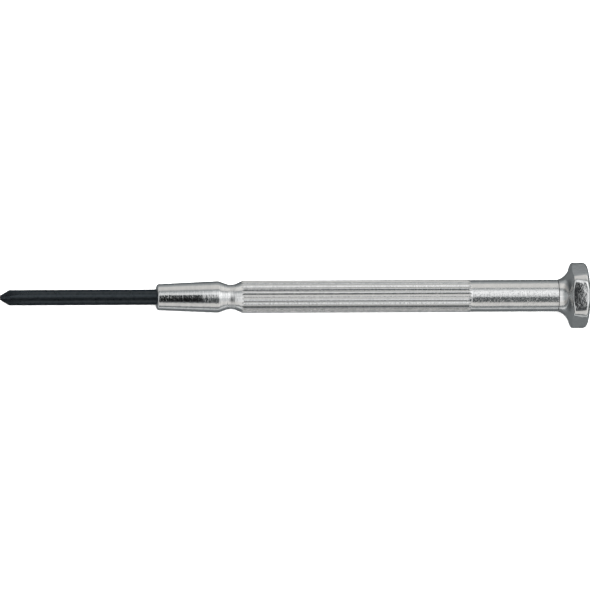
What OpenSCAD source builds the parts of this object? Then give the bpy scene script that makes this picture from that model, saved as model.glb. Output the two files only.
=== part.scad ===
// Watchmaker's screwdriver: a blackened blade with a cross point, a turned and plated handle
// with a tapered nose, a finger waist and a fluted grip, and a six-sided palm head that turns freely.
// The tool lies along X with its point towards -X, resting on one flat of the head at z = 0.

/* [Blade] */
// Diameter of the blade
blade_d = 3.0; // [2:0.1:3.6]
// Length of blade that stands out of the nose
blade_reach = 30.3; // [20:0.1:60]
// How much smaller the tang is than the blade, on each side
tang_step = 0.2; // [0.1:0.05:0.4]
// Length of the tang, pressed into the nose
tang_length = 13; // [8:0.5:18]
// Diameter of the blunt end of the point
point_d = 0.9; // [0.6:0.1:1.4]
// Angle between the point's cone and the blade's axis
point_angle = 30; // [20:1:45]

/* [Cross point] */
// Length of the four flutes, from the end of the point to where they run out
cross_run = 5.9; // [3:0.1:10]
// Radius of the core left between the flutes at the end of the point
cross_core_r = 0.25; // [0.2:0.05:0.4]
// Radius of the wheel that cuts each flute
cross_wheel_r = 28; // [20:1:40]
// Angle between the two faces of each flute
cross_flute_angle = 92; // [80:1:100]

/* [Nose and waist] */
// Diameter of the nose at its front edge
nose_front_d = 5.1; // [4.5:0.1:6]
// Diameter of the nose where it meets the waist
nose_rear_d = 6.2; // [5.6:0.1:7]
// Length of the nose
nose_length = 11.75; // [8:0.05:20]
// Rounding of the nose's front edge
nose_edge_r = 0.7; // [0.3:0.1:0.9]
// Smallest diameter of the finger waist
waist_d = 4.7; // [4.2:0.1:5.4]
// Hollow radius of the waist's front half
waist_front_r = 2.4; // [1:0.1:5]
// Slope of the waist's front flank
waist_front_angle = 21; // [15:1:40]
// Rounding where the nose turns into the waist
waist_front_edge_r = 2.0; // [0.2:0.1:3]
// Hollow radius of the waist's rear half
waist_rear_r = 2.8; // [1:0.1:5]
// Slope of the waist's rear flank
waist_rear_angle = 25; // [18:1:40]
// Rounding where the waist turns into the grip
waist_rear_edge_r = 0.5; // [0.2:0.1:3]

/* [Grip and barrel] */
// Diameter over the crests of the fluted grip
grip_d = 6.3; // [6:0.1:8]
// Length of the fluted grip
grip_length = 44.4; // [25:0.1:70]
// Number of V-shaped flutes round the grip
flute_count = 24; // [12:1:26]
// Depth of the flutes
flute_depth = 0.19; // [0.1:0.01:0.22]
// Angle between the two walls of a flute
flute_angle = 122; // [60:1:126]
// Length over which a flute rises out at the rear end of the grip
flute_rise = 0.6; // [0.3:0.1:3]
// How far the flutes are turned round from the flat that the head rests on
flute_turn = 8.5; // [0:0.5:15]
// Length of the bevel from the crests down to the barrel
grip_bevel = 0.15; // [0.05:0.05:0.5]
// Diameter of the plain barrel behind the grip
barrel_d = 6.2; // [5.8:0.1:8]
// Length of the plain barrel
barrel_length = 17.0; // [12:0.05:30]

/* [Swivel head] */
// Distance across the flats of the head
head_flats = 11.8; // [9:0.1:16]
// Diameter over the rounded corners of the head
head_corners_d = 12.78; // [12:0.01:13.2]
// Length of the head along the axis
head_length = 6.23; // [5.4:0.01:9]
// Diameter of the head's small end, next to the barrel
skirt_d = 6.24; // [5.8:0.01:8]
// Radius of the hollow curve under the head
cove_r = 3.5; // [3.4:0.05:3.9]
// How far outside the corners the hollow curve turns square to the axis
cove_overrun = 0.05; // [0.02:0.01:0.1]
// Radius of the domed end
dome_r = 26; // [18:1:60]
// Rounding of the rim of the dome
rim_r = 1.0; // [0.5:0.1:1.2]

/* [Swivel bearing] */
// Diameter of the pin that the head turns on, and of the ball under its end
pin_d = 2.0; // [1.5:0.1:2.2]
// Length of the pin pressed into the head
pin_seat = 3.6; // [2.5:0.1:4.2]
// Outer diameter of the bush pressed into the barrel
bush_d = 4.0; // [3.8:0.1:4.6]
// Length of the bush
bush_length = 5.0; // [3:0.1:8]
// Outer diameter of the washer in the seam
washer_d = 5.6; // [4.4:0.1:5.8]
// Thickness of the washer
washer_t = 0.1; // [0.1:0.05:0.5]
// Thickness of the retaining ring
ring_t = 0.4; // [0.2:0.05:0.6]
// Outer diameter of the retaining ring
ring_d = 3.4; // [2.8:0.1:3.6]
// Depth of the ring's groove in the pin
ring_groove = 0.3; // [0.15:0.05:0.35]
// Width of the opening in the ring
ring_opening = 0.9; // [0.5:0.1:1.2]
// Wall left between the ring's room and the ball's pocket
pocket_step = 0.5; // [0.3:0.1:1]
// Length of pin that reaches into the ball's pocket
pin_tail = 0.5; // [0.3:0.1:1]

/* [Fits] */
// Radial clearance of the pin in its bush, and of the ball in its pocket
running = 0.03; // [0.01:0.01:0.08]
// Clearance along the axis between faces that turn on each other
end_gap = 0.03; // [0.02:0.01:0.1]

/* [Hidden] */
$fn = 96;

past = 1;            // how far a cutter runs past the face that it cuts
blend_lap = 0.02;    // how far the rim's rounding stands over the lines that it joins
crest_lap = 0.05;    // how far a flute's cutter stands over the crests
arc_steps = 8;       // straight steps in each rounding of the handle's outline

// places along the axis, counted from the end of the point
nose_end = blade_reach + nose_length;
waist_front_depth = (nose_rear_d - waist_d) / 2;
waist_rear_depth = (grip_d - waist_d) / 2;
waist_s = nose_end + flank_run(waist_front_depth, waist_front_r + waist_front_edge_r, waist_front_angle);
grip_start = waist_s + flank_run(waist_rear_depth, waist_rear_r + waist_rear_edge_r, waist_rear_angle);
grip_end = grip_start + grip_length;
barrel_end = grip_end + barrel_length;
head_start = barrel_end + washer_t + end_gap;
total_length = head_start + head_length;

// the swivel's stack, from the end of the barrel inwards; one reamed pocket holds the ball and
// steadies the pin's tail, so the ball is as wide as the pin
ball_d = pin_d;
pocket_d = pin_d + 2 * running;
bush_inner = barrel_end - bush_length;
ring_top = bush_inner - end_gap;
ring_bottom = ring_top - ring_t;
pocket_mouth = ring_bottom - pocket_step;
pin_end = pocket_mouth - pin_tail;
ball_s = pin_end - end_gap - ball_d / 2;
pocket_floor = ball_s - ball_d / 2 - end_gap;
pin_top = head_start + pin_seat;

tang_d = blade_d - 2 * tang_step;
tang_end = blade_reach + tang_length;
tang_room = 0.5;     // empty end of the tang's bore
tang_lead = 0.3;     // lead-in on the end of the tang

// length along the axis of a flank: a hollow arc, a straight slope and a rounded edge, where radii is
// the sum of the two arcs' radii
function flank_run(depth, radii, slope) =
    radii * sin(slope) + (depth - radii * (1 - cos(slope))) / tan(slope);

// points [radius, place along the axis] on an arc
function arc(centre, r, from, to) =
    [for (i = [0:arc_steps]) let (a = from + (to - from) * i / arc_steps) centre + r * [cos(a), sin(a)]];

// half the length of the chord that a cut of this depth leaves on a circle of radius r
function half_chord(r, depth) = sqrt(2 * r * depth - depth * depth);

// stands a piece that was turned about Z along the tool's axis, with its z = 0 at the end of the point
module on_axis() {
    translate([-total_length / 2, 0, head_flats / 2]) rotate([0, 90, 0]) children();
}

// ---- blade: one blackened steel rod, ground to a cross point ----

// the wheel that cuts one flute: it passes the core at the end of the point and leaves the rod's
// surface at the end of the run
module cross_wheel() {
    rise = blade_d / 2 - cross_core_r;
    chord = norm([cross_run, rise]);
    reach_out = sqrt(pow(cross_wheel_r, 2) - pow(chord / 2, 2));
    wheel_r = cross_core_r + rise / 2 + reach_out * cross_run / chord;
    wheel_s = cross_run / 2 - reach_out * rise / chord;
    half_w = blade_d;
    rim = cross_wheel_r - half_w / tan(cross_flute_angle / 2);
    translate([wheel_r, 0, wheel_s]) rotate([90, 0, 0]) rotate_extrude($fn = 180)
        polygon([[0, -half_w], [rim, -half_w], [cross_wheel_r, 0], [rim, half_w], [0, half_w]]);
}

module blade() {
    cone_length = (blade_d - point_d) / 2 / tan(point_angle);
    color([0.16, 0.18, 0.20]) on_axis() difference() {
        rotate_extrude() polygon([
            [0, 0], [point_d / 2, 0], [blade_d / 2, cone_length], [blade_d / 2, blade_reach],
            [tang_d / 2, blade_reach], [tang_d / 2, tang_end - tang_lead],
            [tang_d / 2 - tang_lead, tang_end], [0, tang_end]
        ]);
        for (quarter = [0:3]) rotate(45 + 90 * quarter) cross_wheel();
    }
}

// ---- handle: one turned bar with nose, waist, fluted grip and plain barrel ----

module handle_outline() {
    nose_front_r = nose_front_d / 2;
    nose_rear_r = nose_rear_d / 2;
    waist_r = waist_d / 2;
    grip_r = grip_d / 2;
    polygon(concat(
        [[0, blade_reach]],
        arc([nose_front_r - nose_edge_r, blade_reach + nose_edge_r], nose_edge_r, -90, 0),
        arc([nose_rear_r - waist_front_edge_r, nose_end], waist_front_edge_r, 0, waist_front_angle),
        arc([waist_r + waist_front_r, waist_s], waist_front_r, 180 + waist_front_angle, 180),
        arc([waist_r + waist_rear_r, waist_s], waist_rear_r, 180, 180 - waist_rear_angle),
        arc([grip_r - waist_rear_edge_r, grip_start], waist_rear_edge_r, -waist_rear_angle, 0),
        [[grip_r, grip_end - grip_bevel], [barrel_d / 2, grip_end],
         [barrel_d / 2, barrel_end], [0, barrel_end]]
    ));
}

// a V-shaped bar that stands on its edge at the origin and runs up along Z
module flute_bar(length, spread) {
    depth = flute_depth + crest_lap;
    linear_extrude(length) polygon([[0, 0], [depth, -depth * spread], [depth, depth * spread]]);
}

// the cutter of one flute: a straight bar along the grip, and one that rises out at its rear end
module flute_cutter() {
    lean = atan(flute_depth / flute_rise);
    spread = tan(flute_angle / 2);
    translate([grip_d / 2 - flute_depth, 0, waist_s]) flute_bar(grip_end - flute_rise - waist_s, spread);
    translate([grip_d / 2 - flute_depth, 0, grip_end - flute_rise]) rotate([0, lean, 0])
        flute_bar(2 * flute_rise, spread / cos(lean));
}

module handle() {
    color([0.78, 0.78, 0.77]) on_axis() difference() {
        rotate_extrude() handle_outline();
        for (i = [0:flute_count - 1]) rotate(flute_turn + i * 360 / flute_count) flute_cutter();
        translate([0, 0, blade_reach - past])
            cylinder(d = tang_d, h = tang_length + tang_room + past);
        translate([0, 0, pocket_mouth]) cylinder(d = bush_d, h = barrel_end - pocket_mouth + past);
        translate([0, 0, pocket_floor]) cylinder(d = pocket_d, h = pocket_mouth - pocket_floor + past);
    }
}

// ---- swivel: bush, ball, washer, pin and ring ----

module bearing_bush() {
    color([0.72, 0.50, 0.25]) on_axis() translate([0, 0, bush_inner]) difference() {
        cylinder(d = bush_d, h = bush_length);
        translate([0, 0, -past]) cylinder(d = pin_d + 2 * running, h = bush_length + 2 * past);
    }
}

module thrust_ball() {
    color([0.80, 0.80, 0.82]) on_axis() translate([0, 0, ball_s]) sphere(d = ball_d);
}

module thrust_washer() {
    color([0.30, 0.30, 0.31]) on_axis() translate([0, 0, barrel_end]) difference() {
        cylinder(d = washer_d, h = washer_t);
        translate([0, 0, -past]) cylinder(d = pin_d + 2 * running, h = washer_t + 2 * past);
    }
}

module swivel_pin() {
    groove_d = pin_d - 2 * ring_groove;
    color([0.66, 0.66, 0.68]) on_axis() rotate_extrude() polygon([
        [0, pin_end], [pin_d / 2, pin_end],
        [pin_d / 2, ring_bottom], [groove_d / 2, ring_bottom],
        [groove_d / 2, ring_top], [pin_d / 2, ring_top],
        [pin_d / 2, pin_top], [0, pin_top]
    ]);
}

module retaining_ring() {
    color([0.45, 0.45, 0.47]) on_axis() translate([0, 0, ring_bottom]) difference() {
        cylinder(d = ring_d, h = ring_t);
        translate([0, 0, -past]) cylinder(d = pin_d - 2 * ring_groove, h = ring_t + 2 * past);
        translate([0, -ring_opening / 2, -past]) cube([ring_d, ring_opening, ring_t + 2 * past]);
    }
}

// ---- head: a turned and milled knob with a domed end ----

module head_outline() {
    corner_r = head_corners_d / 2;
    cove_centre_r = corner_r + cove_overrun;
    cove_centre_s = -half_chord(cove_r, cove_r - (cove_centre_r - skirt_d / 2));
    rim_centre_r = corner_r - rim_r + blend_lap;
    rim_centre_s = head_length - dome_r + sqrt(dome_r * dome_r - corner_r * corner_r) - rim_r + blend_lap;
    difference() {
        intersection() {
            square([corner_r, head_length + past]);
            translate([0, head_length - dome_r]) circle(dome_r, $fn = 720);
        }
        translate([cove_centre_r, cove_centre_s]) circle(cove_r, $fn = 180);
        translate([rim_centre_r, rim_centre_s]) difference() {
            square(2 * rim_r);
            circle(rim_r);
        }
    }
}

module swivel_head() {
    color([0.74, 0.74, 0.73]) on_axis() translate([0, 0, head_start]) difference() {
        intersection() {
            rotate_extrude() head_outline();
            rotate(30) cylinder(d = head_flats / cos(30), h = head_length + past, $fn = 6);
        }
        translate([0, 0, -past]) cylinder(d = pin_d, h = pin_seat + past);
    }
}

blade();
handle();
bearing_bush();
thrust_ball();
thrust_washer();
swivel_pin();
retaining_ring();
swivel_head();
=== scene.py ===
import math

import bpy
from mathutils import Matrix, Vector


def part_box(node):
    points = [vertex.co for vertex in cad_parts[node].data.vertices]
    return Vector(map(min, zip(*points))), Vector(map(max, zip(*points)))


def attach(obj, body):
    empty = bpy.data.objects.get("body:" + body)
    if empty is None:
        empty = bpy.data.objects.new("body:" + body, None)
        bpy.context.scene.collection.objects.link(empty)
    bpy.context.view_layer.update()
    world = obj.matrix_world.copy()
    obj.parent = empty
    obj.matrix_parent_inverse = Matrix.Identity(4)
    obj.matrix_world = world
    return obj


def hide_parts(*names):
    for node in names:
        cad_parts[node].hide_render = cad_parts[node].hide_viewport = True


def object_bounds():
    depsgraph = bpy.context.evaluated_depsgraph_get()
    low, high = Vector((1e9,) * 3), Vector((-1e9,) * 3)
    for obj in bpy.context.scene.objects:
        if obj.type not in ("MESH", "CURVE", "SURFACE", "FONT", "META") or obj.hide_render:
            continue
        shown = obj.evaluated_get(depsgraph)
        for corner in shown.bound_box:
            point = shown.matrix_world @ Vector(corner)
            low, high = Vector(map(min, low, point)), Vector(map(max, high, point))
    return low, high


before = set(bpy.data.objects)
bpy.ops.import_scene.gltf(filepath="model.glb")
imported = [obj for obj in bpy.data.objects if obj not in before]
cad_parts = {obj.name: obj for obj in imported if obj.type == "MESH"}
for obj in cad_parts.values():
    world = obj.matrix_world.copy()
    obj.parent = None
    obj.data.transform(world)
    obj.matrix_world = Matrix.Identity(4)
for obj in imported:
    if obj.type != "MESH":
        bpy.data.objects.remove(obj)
cad_box = [list(corner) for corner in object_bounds()]

# ---------------------------------------------------------------------------------------------
# Blade. A 3 mm rod of hardened tool steel, blackened in hot salts and oiled. Its end is ground
# to a blunt cone and four flutes are milled into it, which leaves a cross point. The rear end
# is turned down to a tang and pressed into the nose.
# ---------------------------------------------------------------------------------------------

# sizes are in mm unless they are multiplied by MM; s is a distance behind the blade's point
MM = 0.001
blade_low, blade_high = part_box("blade")
point_x = blade_low.x
axis_z = (blade_low.z + blade_high.z) / 2


def behind(x):
    """How far a place along the tool lies behind its point, in mm."""
    return (x - point_x) / MM


def radius_of(low, high):
    """The radius, in mm, of a round piece whose box has these two corners."""
    return (high.z - low.z) / 2 / MM


def spot(s, r, a):
    """The place s mm behind the point and r mm from the axis, at an angle from straight up."""
    return Vector((point_x + s * MM, r * MM * math.sin(a), axis_z + r * MM * math.cos(a)))


def ring(s, radius, turns):
    """Places round the axis, s mm behind the point. The radius may follow the angle."""
    angles = [2 * math.pi * i / turns for i in range(turns)]
    return [spot(s, radius(a) if callable(radius) else radius, a) for a in angles]


def skin(name, rings):
    """Joins rings of places into one closed skin. A ring of one place closes an end."""
    points, faces, starts = [], [], []
    for row in rings:
        starts.append(len(points))
        points += row
    for k in range(len(rings) - 1):
        a, b = starts[k], starts[k + 1]
        count = max(len(rings[k]), len(rings[k + 1]))
        for i in range(count):
            j = (i + 1) % count
            if len(rings[k]) == 1:
                faces.append((a, b + j, b + i))
            elif len(rings[k + 1]) == 1:
                faces.append((a + i, a + j, b))
            else:
                faces.append((a + i, a + j, b + j, b + i))
    mesh = bpy.data.meshes.new(name)
    mesh.from_pydata(points, [], faces)
    mesh.validate()
    mesh.polygons.foreach_set("use_smooth", [True] * len(mesh.polygons))
    mesh.set_sharp_from_angle(angle=math.radians(32))
    piece = bpy.data.objects.new(name, mesh)
    bpy.context.scene.collection.objects.link(piece)
    return piece


def bow(centre, r, start, stop, steps):
    """A round stretch of an outline, as places (s, radius). Its angles are in degrees from +s."""
    angles = [math.radians(start + (stop - start) * i / steps) for i in range(steps + 1)]
    return [(centre[0] + r * math.cos(a), centre[1] + r * math.sin(a)) for a in angles]


def along(start, stop, steps):
    """A straight stretch of an outline, without its two ends."""
    return [tuple(p + (q - p) * i / steps for p, q in zip(start, stop)) for i in range(1, steps)]


def carry_on(outline, stop, steps=1):
    """Takes an outline straight on from its last place to another."""
    outline += along(outline[-1], stop, steps) + [stop]


class Wire:
    """One output of a shader node, which can be written into sums like a number."""

    def __init__(self, graph, socket):
        self.graph = graph
        self.socket = socket

    def worked(self, operation, *others):
        """A Math node on this value and the others."""
        values = dict(enumerate((self, *others)))
        return self.graph.wire("ShaderNodeMath", {"operation": operation}, values)

    def __add__(self, other):
        return self.worked("ADD", other)

    def __radd__(self, other):
        return self.worked("ADD", other)

    def __sub__(self, other):
        return self.worked("SUBTRACT", other)

    def __rsub__(self, other):
        return self.worked("MULTIPLY_ADD", -1.0, other)

    def __mul__(self, other):
        return self.worked("MULTIPLY", other)

    def __rmul__(self, other):
        return self.worked("MULTIPLY", other)

    def __abs__(self):
        return self.worked("ABSOLUTE")

    def held(self, low=0.0, high=1.0):
        """The value, kept between two limits."""
        return self.worked("MAXIMUM", low).worked("MINIMUM", high)

    def rise(self, low, high):
        """0 below low, 1 above high, and a smooth rise between."""
        values = {"Value": self, "From Min": low, "From Max": high, "To Min": 0.0, "To Max": 1.0}
        return self.graph.wire("ShaderNodeMapRange", {"interpolation_type": "SMOOTHSTEP"}, values)

    def blend(self, first, second):
        """Mixes two colours by this value. The node's colours are at 6 and 7, and come out at 2."""
        values = {0: self, 6: first, 7: second}
        return self.graph.wire("ShaderNodeMix", {"data_type": "RGBA"}, values, 2)


class Graph:
    """The shader nodes of a finish or of the studio."""

    def __init__(self, owner):
        owner.use_nodes = True
        self.tree = owner.node_tree
        self.tree.nodes.clear()

    def node(self, kind, settings, values):
        """Adds a node: its settings first, then the value or the wire of each socket."""
        made = self.tree.nodes.new(kind)
        for name, setting in settings.items():
            setattr(made, name, setting)
        for name, value in values.items():
            self.feed(made.inputs[name], value)
        return made

    def wire(self, kind, settings, values, output=0):
        """Adds a node and gives one of its outputs."""
        return Wire(self, self.node(kind, settings, values).outputs[output])

    def feed(self, socket, value):
        """Links a wire to a socket, or sets the socket's own value; a colour needs no alpha."""
        if isinstance(value, Wire):
            self.tree.links.new(value.socket, socket)
        elif isinstance(value, tuple) and len(value) < len(socket.default_value):
            socket.default_value = (*value, 1.0)
        else:
            socket.default_value = value

    def axes(self, vector):
        """A vector's x, y and z, as three wires."""
        parts = self.node("ShaderNodeSeparateXYZ", {}, {0: vector})
        return [Wire(self, output) for output in parts.outputs]


class Finish:
    """How a surface looks, built round one Principled shader."""

    def __init__(self, name, **fixed):
        self.material = bpy.data.materials.new(name)
        self.graph = Graph(self.material)
        self.shader = self.graph.node("ShaderNodeBsdfPrincipled", {}, fixed)
        surface = Wire(self.graph, self.shader.outputs[0])
        self.graph.node("ShaderNodeOutputMaterial", {}, {"Surface": surface})
        self.place = self.graph.wire("ShaderNodeTexCoord", {}, {}, "Object")

    def stretched(self, x, y, z):
        """The place on the piece, in mm, stretched along each axis."""
        values = {"Vector": self.place, "Scale": (x / MM, y / MM, z / MM)}
        return self.graph.wire("ShaderNodeMapping", {"vector_type": "POINT"}, values)

    def noise(self, per_mm, detail=3.0, rough=0.5, stretch=(1, 1, 1), shift=0.0):
        """Cloudy noise centred on 0, with so many cycles for each mm."""
        place = self.stretched(*(per_mm * k for k in stretch))
        values = {"Vector": place, "W": shift, "Scale": 1.0, "Detail": detail, "Roughness": rough}
        return self.graph.wire("ShaderNodeTexNoise", {"noise_dimensions": "4D"}, values, "Fac") - 0.5

    def set(self, name, value):
        """Sets one of the shader's own sockets."""
        self.graph.feed(self.shader.inputs[name], value)

    def relief(self, height_mm):
        """Gives the surface a height, in mm, through a Bump node."""
        values = {"Strength": 1.0, "Distance": MM, "Height": height_mm}
        self.set("Normal", self.graph.wire("ShaderNodeBump", {}, values))

    def on(self, piece):
        """Puts the finish on a piece."""
        piece.data.materials.clear()
        piece.data.materials.append(self.material)


blade_r = radius_of(blade_low, blade_high)
nose_front = behind(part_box("handle")[0].x)
tang_end = behind(blade_high.x)
tang_r = blade_r - 0.2
tang_bevel = 0.3
point_r = 0.45
point_edge = 0.08
cone_angle = 60
cone_end = (blade_r - point_r) / math.tan(math.radians(cone_angle / 2))
cross_run = 5.9
cross_end = cross_run + 0.4
core_r = 0.25
wheel_r = 28.0
wheel_angle = 92
wheel_slope = math.tan(math.radians(wheel_angle / 2))
blade_turns = 256

# the milling wheel's centre: it passes the core at the point and leaves the rod at the run's end
wheel_rise = blade_r - core_r
wheel_chord = math.hypot(cross_run, wheel_rise)
wheel_reach = math.sqrt(wheel_r ** 2 - (wheel_chord / 2) ** 2)
wheel_out = core_r + wheel_rise / 2 + wheel_reach * cross_run / wheel_chord
wheel_s = cross_run / 2 - wheel_reach * wheel_rise / wheel_chord


def cross_milled(s, full_r):
    """The rod's radius at each angle, s mm behind the point, with the four flutes milled away."""
    core = wheel_out - math.sqrt(wheel_r ** 2 - (s - wheel_s) ** 2)

    def radius(a):
        off_rib = abs((a + math.pi / 4) % (math.pi / 2) - math.pi / 4)
        off_floor = math.pi / 4 - off_rib
        lean = math.cos(off_floor) - math.sin(off_floor) / wheel_slope
        return min(full_r, core / lean) if lean > 1e-6 else full_r

    return radius


blade_outline = bow((point_edge, point_r - point_edge), point_edge, 180, 120, 4)
carry_on(blade_outline, (cone_end, blade_r), 30)
carry_on(blade_outline, (cross_end, blade_r), 90)
carry_on(blade_outline, (nose_front, blade_r), 24)
carry_on(blade_outline, (nose_front, tang_r))
carry_on(blade_outline, (tang_end - tang_bevel, tang_r))
carry_on(blade_outline, (tang_end, tang_r - tang_bevel))
blade_rings = [ring(0, 0, 1)]
for s, r in blade_outline:
    blade_rings.append(ring(s, cross_milled(s, r) if s < cross_end else r, blade_turns))
blade_rings.append(ring(tang_end, 0, 1))
blade = skin("blade_steel", blade_rings)

black_oxide = Finish("black_oxide_steel", Metallic=1.0, IOR=1.5)
soot = black_oxide.noise(1.6, detail=5.0, rough=0.62)
draw_lines = black_oxide.noise(1.0, detail=4.0, rough=0.6, stretch=(0.25, 9, 9), shift=3.0)
grit = black_oxide.noise(7.0, detail=2.0, shift=8.0).rise(0.17, 0.24)
worn = (0.5 + soot * 1.6 + draw_lines * 0.5).held()
black_oxide.set("Base Color", worn.blend((0.026, 0.033, 0.037), (0.054, 0.061, 0.068)))
black_oxide.set("Roughness", (0.31 + soot * 0.25 + draw_lines * 0.18 + grit * 0.2).held(0.18, 0.7))
black_oxide.set("Specular Tint", (0.35, 0.37, 0.40))
black_oxide.relief(draw_lines * 0.0035 + soot * 0.004 + grit * 0.004)
black_oxide.on(blade)
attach(blade, "handle")
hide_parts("blade")

# ---------------------------------------------------------------------------------------------
# Handle. One bar, turned to a tapered nose, a finger waist, a grip and a barrel, and plated.
# The grip is fluted lengthways; each flute is cut through the waist's rear flank and rises out
# at the barrel. The nose is bored for the tang, and the barrel for the swivel.
# ---------------------------------------------------------------------------------------------

nose_front_r = 2.55
nose_rear_r = 3.10
nose_end = nose_front + 11.75
nose_edge_s = 0.46
nose_edge_r = 0.9
nose_edge_steps = 14
waist_r = 2.35
barrel_end = behind(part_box("handle")[1].x)
barrel_r = 3.10
barrel_length = 17.0
barrel_edge_r = 0.06
grip_end = barrel_end - barrel_length
grip_r = radius_of(*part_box("handle"))
grip_bevel = 0.15
flutes = 24
flute_depth = 0.19
flute_angle = 122
flute_wall = math.tan(math.radians(flute_angle / 2))
flute_rise = 0.6
flute_turn = math.radians(6.5)
flute_edge = 0.02
flute_margin = 0.05
handle_turns = flutes * 24
clearance = 0.03
bush_r = radius_of(*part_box("bearing_bush"))
pocket_r = radius_of(*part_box("thrust_ball")) + clearance
pocket_floor = behind(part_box("thrust_ball")[0].x) - clearance
pocket_mouth = behind(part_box("retaining_ring")[0].x) - 0.5
tang_bore_end = tang_end + 0.5

# the waist's two sides: hollow radius, edge radius and slope in degrees
front_hollow_r, front_edge_r, front_slope = 2.4, 2.0, 21
rear_hollow_r, rear_edge_r, rear_slope = 2.8, 0.5, 25
front_crisp = 9


def flank_run(depth, radii, slope):
    """How far along the tool one side of the waist reaches."""
    lean = math.radians(slope)
    return radii * math.sin(lean) + (depth - radii * (1 - math.cos(lean))) / math.tan(lean)


waist_s = nose_end + flank_run(nose_rear_r - waist_r, front_hollow_r + front_edge_r, front_slope)
grip_start = waist_s + flank_run(grip_r - waist_r, rear_hollow_r + rear_edge_r, rear_slope)


def flank(hollow_r, edge_r, slope, top, facing, crisp=0):
    """One side of the waist: a hollow arc, a straight slope and a rounded edge, crisp at its top."""
    hollow = bow((waist_s, waist_r + hollow_r), hollow_r, -90, -90 + facing * slope, 14)
    edge = bow((top[0], top[1] - edge_r), edge_r, 90 + facing * slope, 90 + facing * crisp, 12)
    return hollow + along(hollow[-1], edge[0], 12) + edge


def rounded_min(first, second, soft):
    """The smaller of two numbers, with a rounded change from one to the other."""
    near = max(0.0, soft - abs(first - second)) / soft
    return min(first, second) - near * near * soft / 4


def fluted(s, full_r):
    """The grip's radius at each angle with its V-shaped flutes, whose floors rise out at its end."""
    risen = max(0.0, (s - grip_end + flute_rise) / flute_rise)
    floor_r = grip_r - flute_depth * (1 - risen)

    def radius(a):
        pitch = 2 * math.pi / flutes
        off = abs((a - flute_turn + pitch / 2) % pitch - pitch / 2)
        wall_r = floor_r / (math.cos(off) - math.sin(off) / flute_wall)
        return rounded_min(full_r, wall_r, flute_edge)

    return radius


# rings lie this close beside the edges, so that smooth shading doesn't run from face to face
beside = 0.04
grip_beside = 0.05
handle_outline = [(nose_front, blade_r)]
handle_outline += along(handle_outline[-1], (nose_front, nose_front_r - nose_edge_r), 4)
for i in range(nose_edge_steps + 1):
    t = math.pi / 2 * (1 - i / nose_edge_steps)
    edge_s = nose_front + nose_edge_s * (1 - math.sin(t))
    handle_outline.append((edge_s, nose_front_r - nose_edge_r * (1 - math.cos(t))))
taper = (nose_rear_r - nose_front_r) / (nose_end - nose_front)
carry_on(handle_outline, (nose_front + nose_edge_s + beside, nose_front_r + beside * taper))
nose_top = (nose_end, nose_rear_r)
front_flank = flank(front_hollow_r, front_edge_r, front_slope, nose_top, -1, front_crisp)[::-1]
handle_outline += along(handle_outline[-1], front_flank[0], 16) + front_flank
grip_top = (grip_start, grip_r)
handle_outline += flank(rear_hollow_r, rear_edge_r, rear_slope, grip_top, 1)[1:]
carry_on(handle_outline, (grip_start + grip_beside, grip_r))
carry_on(handle_outline, (grip_end - flute_rise - grip_beside, grip_r), 10)
carry_on(handle_outline, (grip_end - flute_rise, grip_r))
carry_on(handle_outline, (grip_end - grip_bevel, grip_r), 12)
carry_on(handle_outline, (grip_end, barrel_r), 3)
carry_on(handle_outline, (grip_end + beside, barrel_r))
carry_on(handle_outline, (barrel_end - barrel_edge_r - beside, barrel_r), 12)
handle_outline += bow((barrel_end - barrel_edge_r, barrel_r - barrel_edge_r), barrel_edge_r, 90, 0, 5)
carry_on(handle_outline, (barrel_end, bush_r))
carry_on(handle_outline, (pocket_mouth, bush_r))
carry_on(handle_outline, (pocket_mouth, pocket_r))
carry_on(handle_outline, (pocket_floor, pocket_r))

handle_rings = [ring(tang_bore_end, 0, 1)]
handle_rings.append(ring(tang_bore_end, tang_r, handle_turns))
handle_rings.append(ring(nose_front, tang_r, handle_turns))
for s, r in handle_outline:
    cut = waist_s < s < grip_end and r > grip_r - flute_depth - flute_margin
    handle_rings.append(ring(s, fluted(s, r) if cut else r, handle_turns))
handle_rings.append(ring(pocket_floor, 0, 1))
handle = skin("plated_handle", handle_rings)

handle_plate = Finish("plated_handle", Metallic=1.0)
x_mm, y_mm, z_mm = handle_plate.graph.axes(handle_plate.stretched(1, 1, 1))
s_mm = x_mm - point_x / MM
above_axis = z_mm - axis_z / MM
off_axis = (y_mm * y_mm + above_axis * above_axis).worked("SQRT")


def between(start, start_run, stop, stop_run):
    """1 on a stretch of the handle, rising to it and falling from it over these runs, in mm."""
    return s_mm.rise(start, start + start_run) * (1 - s_mm.rise(stop, stop + stop_run))


on_grip = between(waist_s + 1.6, 0.4, grip_end - 0.4, 0.3)
on_nose_rear = between(nose_end - 3.4, 0.8, waist_s + 0.9, 0.6)
in_waist = between(waist_s - 0.8, 0.6, waist_s + 0.5, 0.7)
on_crest = on_grip * off_axis.rise(grip_r - 0.06, grip_r - 0.01)
on_barrel = s_mm.rise(grip_end, grip_end + 0.1)
on_nose_front = 1 - s_mm.rise(nose_front + 1.0, nose_front + 5.0)
facing_up = above_axis.rise(2.0, 2.9)

clouds = handle_plate.noise(0.9, detail=4.0, rough=0.55)
turning = handle_plate.noise(1.0, detail=3.0, rough=0.6, stretch=(3.2, 0.25, 0.25), shift=2.0)
peel = handle_plate.noise(1.7, detail=3.0, rough=0.6, shift=5.0)
frost = handle_plate.noise(11.0, detail=3.0, rough=0.7, shift=9.0)
haze = handle_plate.noise(1.5, detail=3.0, rough=0.6, shift=7.0).rise(0.05, 0.22)
drawn = handle_plate.noise(1.0, detail=3.0, rough=0.65, stretch=(0.7, 5, 5), shift=11.0) * on_grip
specks = handle_plate.noise(3.9, detail=3.0, rough=0.7, shift=13.0).rise(0.02, 0.10)
specks = specks * (on_barrel + 0.7 * on_nose_front)

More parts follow.
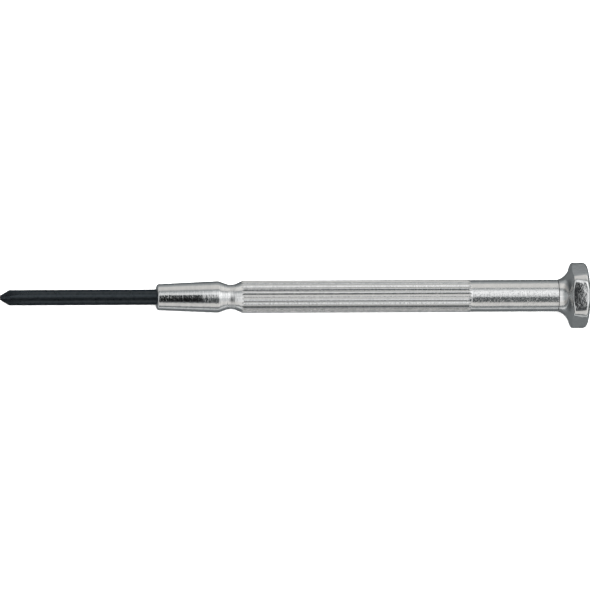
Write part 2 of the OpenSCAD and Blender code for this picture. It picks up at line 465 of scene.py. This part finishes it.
bright = (0.5 + clouds * 1.4 + frost * on_grip * 0.8).held()
handle_plate.set("Base Color", bright.blend((0.56, 0.565, 0.565), (0.68, 0.68, 0.67)))
dull = 0.09 + clouds * 0.06 + haze * 0.14 + on_grip * (0.02 + frost * 0.16) + on_crest * 0.06
dull = dull + in_waist * 0.20 + specks * (0.12 + facing_up * 0.29)
handle_plate.set("Roughness", dull.held(0.07, 0.6))
tool_rings = turning * (0.012 + on_nose_rear * 0.08)
handle_plate.relief(tool_rings + peel * 0.022 + frost * on_grip * 0.005 + drawn * 0.006)
handle_plate.on(handle)
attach(handle, "handle")
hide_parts("handle")

# ---------------------------------------------------------------------------------------------
# Swivel, fixed side. A bronze bush is pressed into the barrel, a steel ball lies in the pocket
# behind it, and a thin steel washer fills most of the seam between the barrel and the head.
# ---------------------------------------------------------------------------------------------


def turned_metal(name, dark, light, rough, grain):
    """A small turned part: faint rings from the tool, a little stain, no plating."""
    metal = Finish(name, Metallic=1.0)
    stain = metal.noise(1.4, detail=4.0)
    rings_cut = metal.noise(1.0, detail=2.0, stretch=(14, 0.5, 0.5), shift=4.0)
    metal.set("Base Color", (0.5 + stain * 1.5).held().blend(dark, light))
    metal.set("Roughness", (rough + stain * 0.2).held(0.05, 0.8))
    metal.relief(rings_cut * grain)
    return metal


bronze = turned_metal("bush_bronze", (0.42, 0.24, 0.10), (0.62, 0.40, 0.19), 0.32, 0.004)
bronze.on(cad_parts["bearing_bush"])
ball_steel = turned_metal("ball_steel", (0.55, 0.55, 0.57), (0.66, 0.66, 0.68), 0.06, 0.0005)
ball_steel.on(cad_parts["thrust_ball"])
washer_steel = turned_metal("washer_steel", (0.07, 0.07, 0.075), (0.13, 0.13, 0.14), 0.45, 0.003)
washer_steel.on(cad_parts["thrust_washer"])

# ---------------------------------------------------------------------------------------------
# Swivel, turning side. The ground steel pin is pressed into the head and turns in the bush.
# An open spring ring sits in its groove behind the bush and keeps the head on.
# ---------------------------------------------------------------------------------------------

pin_steel = turned_metal("pin_steel", (0.42, 0.42, 0.43), (0.56, 0.56, 0.57), 0.22, 0.002)
pin_steel.on(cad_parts["swivel_pin"])
ring_steel = turned_metal("ring_steel", (0.16, 0.15, 0.14), (0.30, 0.29, 0.28), 0.38, 0.003)
ring_steel.on(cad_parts["retaining_ring"])

# ---------------------------------------------------------------------------------------------
# Head. A six-sided plated knob that the forefinger rests on. It is turned with a hollow curve
# below and a dome above, six flats are milled, and all of it is polished, which rounds the
# edges and leaves the flats slightly crowned.
# ---------------------------------------------------------------------------------------------

head_low, head_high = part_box("swivel_head")
head_start = behind(head_low.x)
head_length = behind(head_high.x) - head_start
head_turns = 480
pin_r = radius_of(*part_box("swivel_pin"))
pin_top = behind(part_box("swivel_pin")[1].x)
skirt_r = 3.12
skirt_edge_r = 0.03
seam_lap = 0.04
cove_r = 3.5
dome_r = 26.0
corner_r = (head_high.y - head_low.y) / 2 / MM
corner_blend = 0.19
flat_r = radius_of(head_low, head_high)
# the two flats that lie up and down were milled a little deeper than the other four
side_flat_r = flat_r + 0.10
# polishing has taken a little more off each flat at its cove end, and crowned its middle
flat_loss = 0.18
flat_crown = 0.026
# the polished edges' radii, on a flat and on a corner
cove_edge_r = (0.16, 0.50)
dome_edge_r = (0.42, 0.80)
# how much of the cove and of the dome counts as straight where it meets an edge
cove_chord = 0.3
dome_chord = 1.0
cove_steps = 30
flat_steps = 14
dome_steps = 20


def hexagon(a, flat):
    """Distance from the axis to the six-sided outline, whose corners keep the bar's round surface."""
    off = (a + math.pi / 6) % (math.pi / 3) - math.pi / 6
    if abs(math.cos(a)) < math.cos(math.radians(30)):
        flat += side_flat_r - flat_r
    return rounded_min(flat / math.cos(off), corner_r, corner_blend)


cove_centre_r = corner_r + 0.05
cove_centre_s = -math.sqrt(cove_r ** 2 - (cove_centre_r - skirt_r) ** 2)


def cove_place(r):
    """Where the hollow curve under the head has a radius, in mm behind the head's small end."""
    return cove_centre_s + math.sqrt(cove_r ** 2 - (cove_centre_r - r) ** 2)


def dome_place(r):
    """Where the dome has a radius, in mm behind the head's small end."""
    return head_length - dome_r + math.sqrt(dome_r ** 2 - r ** 2)


def softened(before, corner, after, r, steps):
    """An arc of radius r that rounds a corner between two straight stretches."""
    back = (Vector(before) - Vector(corner)).normalized()
    on = (Vector(after) - Vector(corner)).normalized()
    half = back.angle(on) / 2
    centre = Vector(corner) + (back + on).normalized() * (r / math.sin(half))
    first = Vector(corner) + back * (r / math.tan(half)) - centre
    last = Vector(corner) + on * (r / math.tan(half)) - centre
    turn = first.angle_signed(last)
    arc = []
    for t in [turn * i / steps for i in range(steps + 1)]:
        s = first.x * math.cos(t) + first.y * math.sin(t)
        arc.append((centre.x + s, centre.y + first.y * math.cos(t) - first.x * math.sin(t)))
    return arc


def head_outline(a):
    """The head's outline (s, radius) at one angle: skirt, cove, flat or corner, dome."""
    low_r = hexagon(a, flat_r - flat_loss)
    high_r = hexagon(a, flat_r)
    low = (cove_place(low_r), low_r)
    high = (dome_place(high_r), high_r)
    on_corner = max(0.0, high_r - side_flat_r) / (corner_r - side_flat_r)
    cove_soft = cove_edge_r[0] + (cove_edge_r[1] - cove_edge_r[0]) * on_corner
    dome_soft = dome_edge_r[0] + (dome_edge_r[1] - dome_edge_r[0]) * on_corner
    in_cove = (cove_place(low_r - cove_chord), low_r - cove_chord)
    on_dome = (dome_place(high_r - dome_chord), high_r - dome_chord)
    low_edge = softened(in_cove, low, high, cove_soft, 8)
    high_edge = softened(low, high, on_dome, dome_soft, 12)

    outline = [(-seam_lap, skirt_r - skirt_edge_r)]
    outline += bow((skirt_edge_r - seam_lap, skirt_r - skirt_edge_r), skirt_edge_r, 150, 90, 2)
    climb = low_edge[0][1] - skirt_r
    for i in range(1, cove_steps):
        r = skirt_r + climb * math.sin(math.pi / 2 * i / cove_steps)
        outline.append((cove_place(r), r))
    outline += low_edge
    crown = 4 * flat_crown * (1 - on_corner)
    for i, (s, r) in enumerate(along(low_edge[-1], high_edge[0], flat_steps), 1):
        t = i / flat_steps
        outline.append((s, r + crown * t * (1 - t)))
    outline += high_edge
    for k in range(dome_steps - 1, 0, -1):
        r = high_edge[-1][1] * k / dome_steps
        outline.append((dome_place(r), r))
    return outline


head_angles = [2 * math.pi * i / head_turns for i in range(head_turns)]
head_outlines = [head_outline(a) for a in head_angles]
head_rings = [ring(pin_top, 0, 1)]
head_rings.append(ring(pin_top, pin_r, head_turns))
head_rings.append(ring(head_start - seam_lap, pin_r, head_turns))
for places in zip(*head_outlines):
    head_rings.append([spot(head_start + s, r, a) for a, (s, r) in zip(head_angles, places)])
head_rings.append(ring(head_start + head_length, 0, 1))
head = skin("plated_head", head_rings)

head_plate = Finish("plated_head", Metallic=1.0)
clouds = head_plate.noise(0.8, detail=4.0, rough=0.55)
pits = head_plate.noise(2.4, detail=3.0, rough=0.65, shift=6.0)
waves = head_plate.noise(0.7, detail=2.0, shift=1.0)
bright = (0.5 + clouds * 1.4).held()
head_plate.set("Base Color", bright.blend((0.54, 0.545, 0.545), (0.66, 0.66, 0.65)))
head_plate.set("Roughness", (0.10 + clouds * 0.10 + pits * 0.06).held(0.07, 0.4))
head_plate.relief(pits * 0.018 + waves * 0.050)
head_plate.on(head)
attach(head, "head")
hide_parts("swivel_head")

# ---------------------------------------------------------------------------------------------
# Studio. The tool lies on a pale table, on one flat of its head and the edge of its nose. Soft
# panels stand along both of its sides and over it, with a dark gap where the camera stands.
# ---------------------------------------------------------------------------------------------

flat_middle = 2.4
table_half = 3.0
rest_back = Vector((point_x + (head_start + flat_middle) * MM, 0, axis_z - flat_r * MM))
rest_front = Vector((point_x + nose_end * MM, 0, axis_z - nose_rear_r * MM))
table_x = (rest_front - rest_back).normalized() * table_half
table_y = Vector((0, table_half, 0))
table_turns = ((-1, -1), (1, -1), (1, 1), (-1, 1))
table_corners = [rest_back + table_x * u + table_y * v for u, v in table_turns]
table_mesh = bpy.data.meshes.new("table")
table_mesh.from_pydata(table_corners, [], [(0, 3, 2, 1)])
table = bpy.data.objects.new("table", table_mesh)
bpy.context.scene.collection.objects.link(table)
paper = Finish("table_paper", Roughness=0.9, Metallic=0.0)
fibres = (0.5 + paper.noise(0.02, detail=2.0)).held()
paper.set("Base Color", fibres.blend((0.90, 0.90, 0.90), (0.93, 0.93, 0.93)))
paper.on(table)
table.visible_glossy = False

world = bpy.data.worlds.new("studio")
bpy.context.scene.world = world
sky = Graph(world)
way_x, way_y, way_z = sky.axes(sky.wire("ShaderNodeTexCoord", {}, {}, "Generated"))
# the angle round the tool's axis, from straight up (0) towards +Y (90), in degrees
round_axis = way_y.worked("ARCTAN2", way_z) * (180 / math.pi)


def panel(start, stop, soft):
    """A soft-edged stretch of the studio, from one angle round the tool's axis to another."""
    return round_axis.rise(start - soft, start + soft) * (1 - round_axis.rise(stop - soft, stop + soft))


# the back is the +Y side and the front the -Y side; the panels fade a little towards the blade's end
top_fall = 0.62 + 0.38 * way_x.rise(-0.04, 0.13)
side_fall = 0.86 + 0.14 * way_x.rise(-0.02, 0.09)
blade_half = 1 - way_x.rise(-0.02, 0.09)
over_tool = (panel(-9, 47, 5) * 0.80 + panel(1, 36, 8) * 0.42) * top_fall
dim_strip = panel(32, 46, 6) * 0.22 * blade_half
back_gap = panel(46, 58, 5) * 0.12
back_side = (panel(57, 99, 7) * 0.42 + panel(57, 122, 13) * 0.31) * side_fall
front_side = panel(-80, -49, 5) * 0.66 * side_fall
low_front = panel(-111, -98, 4) * 0.56
front_haze = panel(-130, -60, 12) * 0.08
light = 0.20 + over_tool - dim_strip + back_gap + back_side + front_side + low_front + front_haze
# beyond the camera and the gap beside it, the studio is bright again towards the tool's ends
towards_ends = abs(way_x).rise(0.30, 0.50)
far_ends = abs(way_x).rise(0.62, 0.90)
light = light + towards_ends * panel(-50, -4, 6) * 0.75
light = light * (1 + towards_ends * 0.25) * (1 - far_ends * 0.58)
camera_shadow = panel(-40, 16, 4) * (1 - abs(way_x + 0.085).rise(0.12, 0.19))
light = light * (1 - camera_shadow * 0.95)
side_panels = panel(57, 99, 7) + panel(-80, -46, 6)
tone = (light * 0.9).held().blend((0.88, 0.96, 1.0), (0.985, 0.99, 1.0))
tone = side_panels.blend(tone, (1.0, 0.985, 0.965))
glow = sky.wire("ShaderNodeBackground", {}, {"Color": tone, "Strength": light})
sky.node("ShaderNodeOutputWorld", {}, {"Surface": glow})

fill = bpy.data.lights.new("table_fill", "AREA")
fill.shape = "DISK"
fill.size = 0.9
fill.energy = 30.0
fill_lamp = bpy.data.objects.new("table_fill", fill)
fill_lamp.location = (0.0, 0.15, 0.9)
fill_aim = Vector((0, 0, axis_z)) - fill_lamp.location
fill_lamp.rotation_euler = fill_aim.to_track_quat("-Z", "Y").to_euler()
fill_lamp.visible_glossy = False
bpy.context.scene.collection.objects.link(fill_lamp)

# the camera looks down at the middle of the tool from above, a little from the point's side
stand_off = 1.56
lean = math.radians(5.7)
roll = math.radians(0.233)
aim_above = 0.3 * MM
aim_before = 0.15 * MM
frame_width = 114.48 * MM
film_width = 36.0
middle = Vector(((cad_box[0][0] + cad_box[1][0]) / 2, 0, axis_z))
toward = Vector((-math.sin(lean), 0, math.cos(lean)))
right = Vector((math.cos(lean), 0, math.sin(lean)))
up = toward.cross(right)
stand = middle + up * aim_above - right * aim_before + toward * stand_off
right_rolled = right * math.cos(roll) - up * math.sin(roll)
up_rolled = toward.cross(right_rolled)
camera_data = bpy.data.cameras.new("camera")
camera_data.sensor_width = film_width
camera_data.lens = film_width * stand_off / frame_width
camera_data.clip_start = 0.01
camera = bpy.data.objects.new("camera", camera_data)
camera_turn = Matrix((right_rolled, up_rolled, toward)).transposed().to_4x4()
camera.matrix_world = Matrix.Translation(stand) @ camera_turn
bpy.context.scene.collection.objects.link(camera)
bpy.context.scene.camera = camera
bpy.context.scene.view_settings.view_transform = "Standard"
